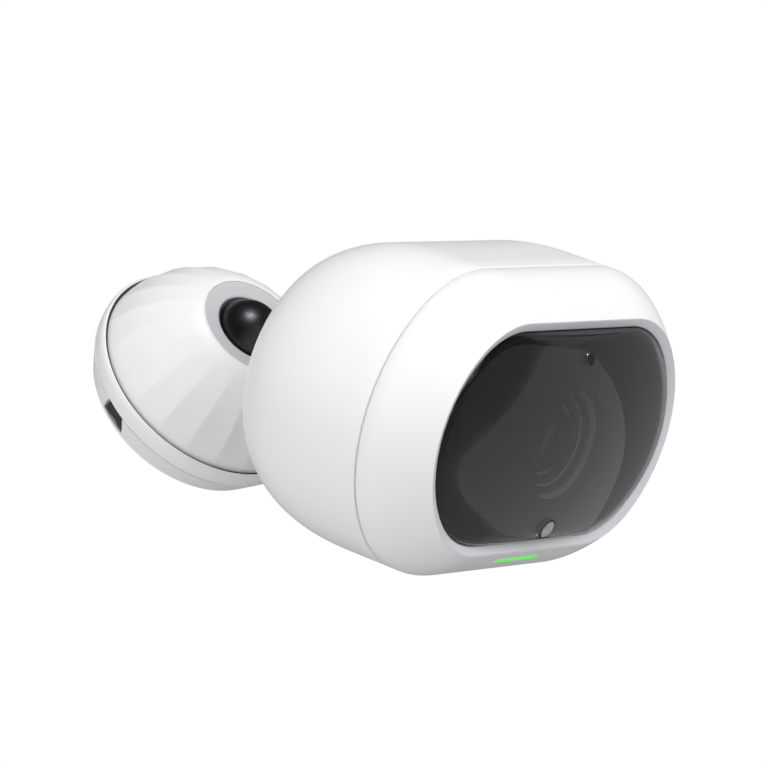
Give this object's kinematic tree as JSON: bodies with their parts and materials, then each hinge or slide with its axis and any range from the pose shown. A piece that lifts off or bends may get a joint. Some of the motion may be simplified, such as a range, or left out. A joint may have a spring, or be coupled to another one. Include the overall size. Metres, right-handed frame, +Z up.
{
  "type": "wall-mounted security camera",
  "caption": "Wide pillow-shaped security camera head with a dark crowned window, turned on a ball joint in a fluted round wall base.",
  "frame": {"origin": "centre of the wall pad's back face, on the wall", "axes": "+Y into the wall, so the base points along -Y; +Z up the wall; +X to the right seen from the front"},
  "size_m": [0.0957, 0.0947, 0.0985],
  "materials": {
    "shell_white": "satin gloss, moulded",
    "base_white": "satin, moulded",
    "trim_grey": "satin",
    "collar_grey": "satin",
    "socket_slate": "satin",
    "window_glass": "polished, dark tint",
    "mask_black": "printed, flat",
    "dark_plastic": "moulded",
    "ball_chrome": "dark polished",
    "steel": "plated",
    "brass": "knurled",
    "rubber_black": "moulded",
    "rubber_grey": "moulded",
    "lens_glass": "coated",
    "clear_plastic": "moulded, faceted",
    "light_green": "light pipe",
    "board_green": "solder mask",
    "chip_black": "moulded",
    "antenna_film": "copper on film",
    "cell_wrap": "shrink wrap"
  },
  "bodies": {
    "mount": {"wall_pad": "rubber_grey", "wall_plate": "base_white", "tab_spring": "steel"},
    "tab": {"release_tab": "dark_plastic"},
    "base": {"base_ring": "base_white", "socket_post": "dark_plastic", "post_screws": "steel"},
    "clamp": {"dome": "base_white", "collar_ring": "collar_grey", "ball_collet": "socket_slate"},
    "seat": {"ball_seat": "dark_plastic", "seat_spring": "steel"},
    "ball": {"ball_stud": "ball_chrome"},
    "button": {"power_button": "collar_grey"},
    "flap": {"port_flap": "rubber_grey"},
    "head": {"stud_washer": "rubber_black", "threaded_insert": "brass", "rear_shell": "shell_white", "front_bezel": "shell_white", "seam_gasket": "rubber_grey", "rim_trim": "trim_grey", "window_gasket": "rubber_black", "window_cover": "window_glass", "window_mask": "mask_black", "lens_baffle": "mask_black", "lens_barrel": "dark_plastic", "lens_front": "lens_glass", "lens_rear": "lens_glass", "lens_holder": "dark_plastic", "sensor_board": "board_green", "image_sensor": "chip_black", "led_boards": "board_green", "ir_leds": "clear_plastic", "light_sensor": "clear_plastic", "microphone": "steel", "mic_boot": "rubber_black", "status_light": "light_green", "chassis": "dark_plastic", "chassis_screws": "steel", "main_board": "board_green", "board_chips": "chip_black", "wifi_antenna": "antenna_film", "battery_tray": "dark_plastic", "battery_cells": "cell_wrap", "speaker": "dark_plastic", "key_board": "board_green", "flap_pin": "steel", "usb_socket": "steel"}
  },
  "joints": [
    {"name": "base_unlock", "type": "hinge", "parent": "mount", "child": "base", "pos_m": [0, -0.006, 0], "axis": [0, -1, 0], "range_deg": [0, 20]},
    {"name": "release_push", "type": "slide", "parent": "mount", "child": "tab", "axis": [0.9989, 0, 0.0471], "range_m": [0, 0.0012], "stiffness_N_per_m": 1500},
    {"name": "clamp_twist", "type": "hinge", "parent": "base", "child": "clamp", "pos_m": [0, -0.0242, 0], "axis": [0, -1, 0], "range_deg": [0, 40]},
    {"name": "ball_pan", "type": "hinge", "parent": "base", "child": "seat", "pos_m": [0, -0.0242, 0], "axis": [0, -1, 0], "continuous": true},
    {"name": "ball_tilt", "type": "hinge", "parent": "seat", "child": "ball", "pos_m": [0, -0.0242, 0], "axis": [0.9886, 0, 0.1507], "range_deg": [-54, 3]},
    {"name": "head_roll", "type": "hinge", "parent": "ball", "child": "head", "pos_m": [0, -0.0242, 0], "axis": [0.1222, -0.585, -0.8018], "continuous": true},
    {"name": "power_press", "type": "slide", "parent": "head", "child": "button", "axis": [0.164, -0.7848, 0.5976], "range_m": [0, 0.0008], "stiffness_N_per_m": 800},
    {"name": "flap_open", "type": "hinge", "parent": "head", "child": "flap", "pos_m": [-0.00629, -0.03564, -0.05647], "axis": [0.9789, 0.2045, 0], "range_deg": [0, 95]}
  ]
}
